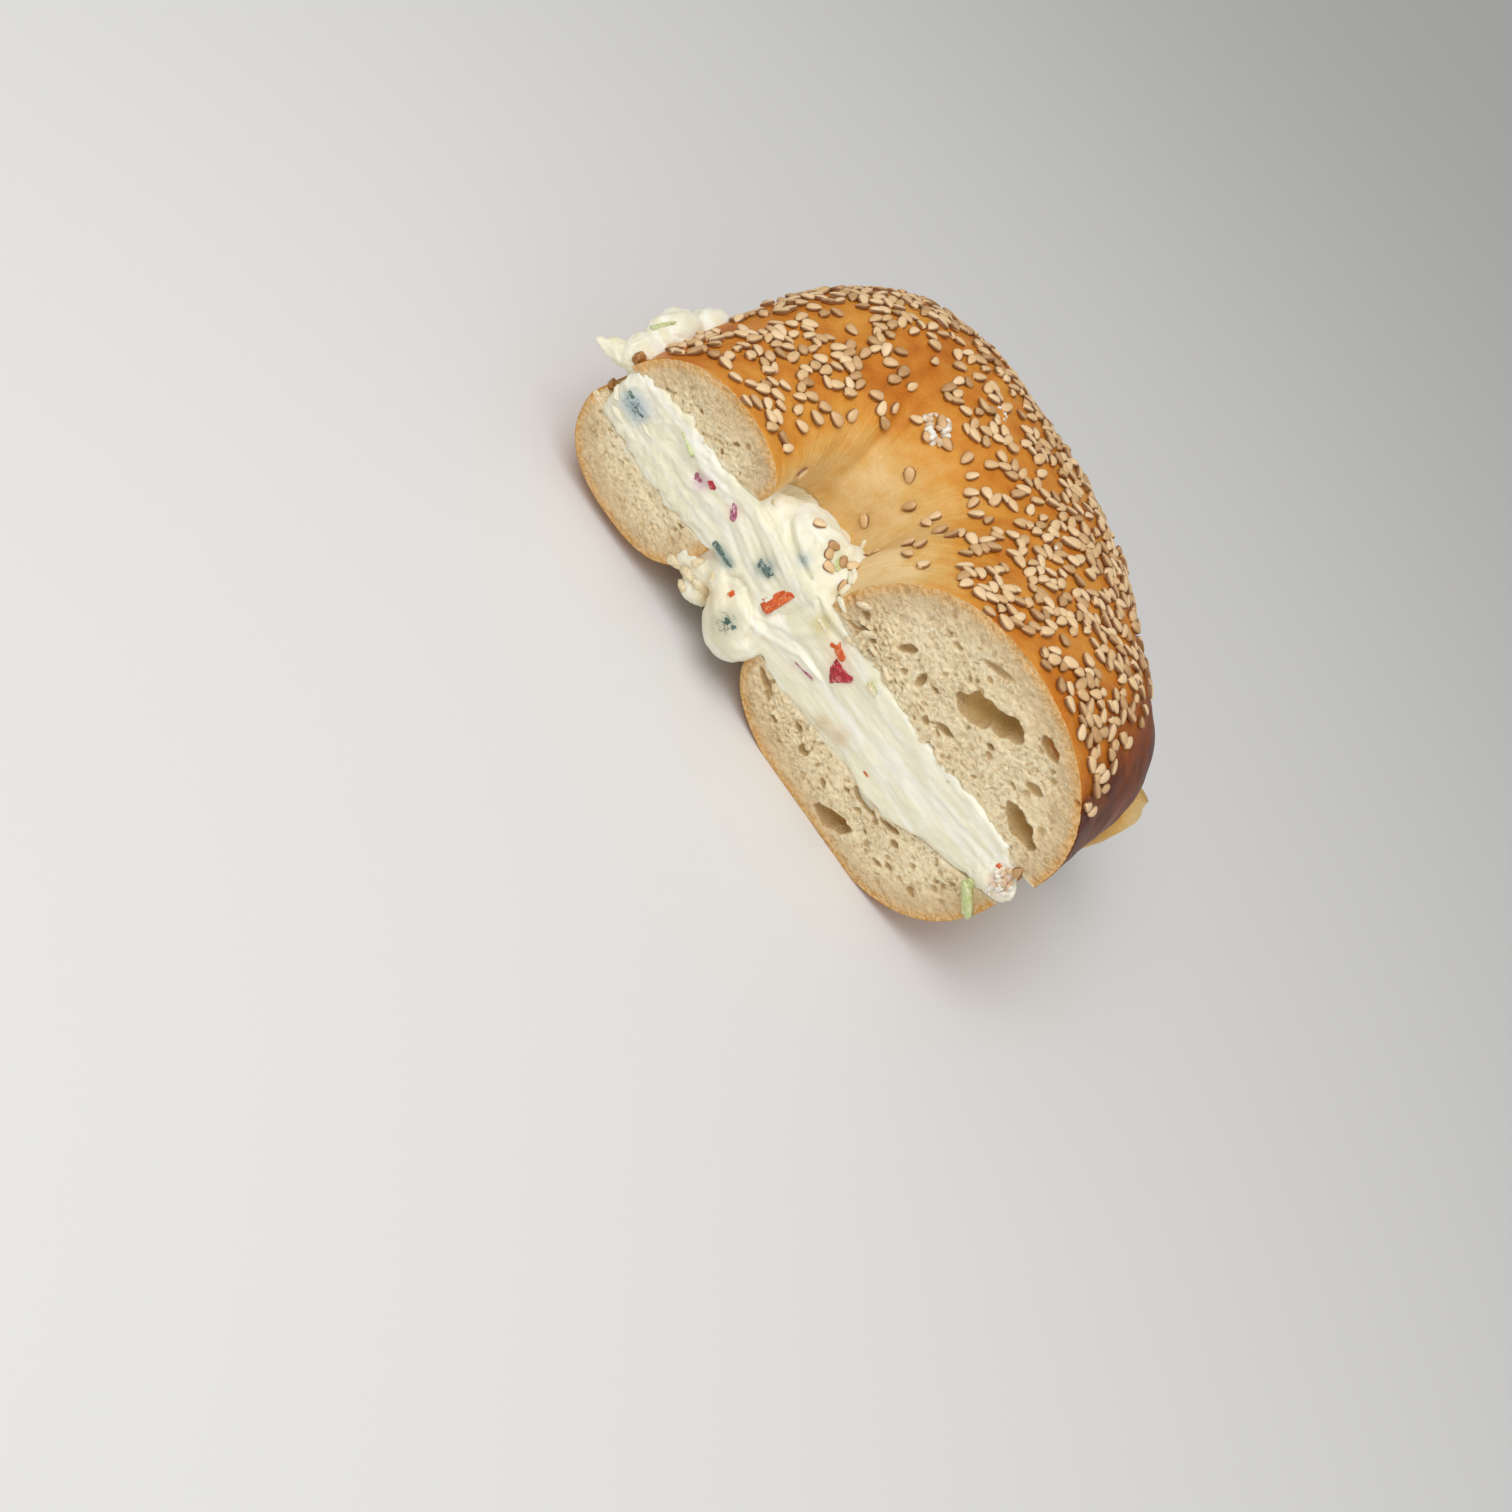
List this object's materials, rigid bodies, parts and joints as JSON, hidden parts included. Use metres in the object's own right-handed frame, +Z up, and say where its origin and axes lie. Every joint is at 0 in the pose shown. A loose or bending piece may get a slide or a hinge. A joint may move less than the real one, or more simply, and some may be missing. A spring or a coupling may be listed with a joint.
{
  "type": "cream cheese bagel sandwich half",
  "caption": "Cut half of a sesame bagel lying on its heel, split and filled with vegetable cream cheese that plugs the bagel's hole and squeezes out at the thin arm.",
  "frame": {"origin": "bottom centre of the bounding box, on the surface that the heel rests on", "axes": "+X runs along the knife's cut from the thin arm to the thick arm, +Y from the cut towards the uncut back, +Z up"},
  "size_m": [0.136, 0.091, 0.0625],
  "materials": {
    "bottom_bread": "baked heel crust with pale porous crumb on the cut",
    "top_bread": "golden brown baked crust with pressed-in sesame seeds, pale porous crumb on the cut",
    "cream_cheese": "soft ivory cream cheese with knife streaks and chopped vegetables"
  },
  "bodies": {
    "root": {"bottom_bread": "bottom_bread", "top_bread": "top_bread", "cream_cheese": "cream_cheese"}
  },
  "joints": []
}
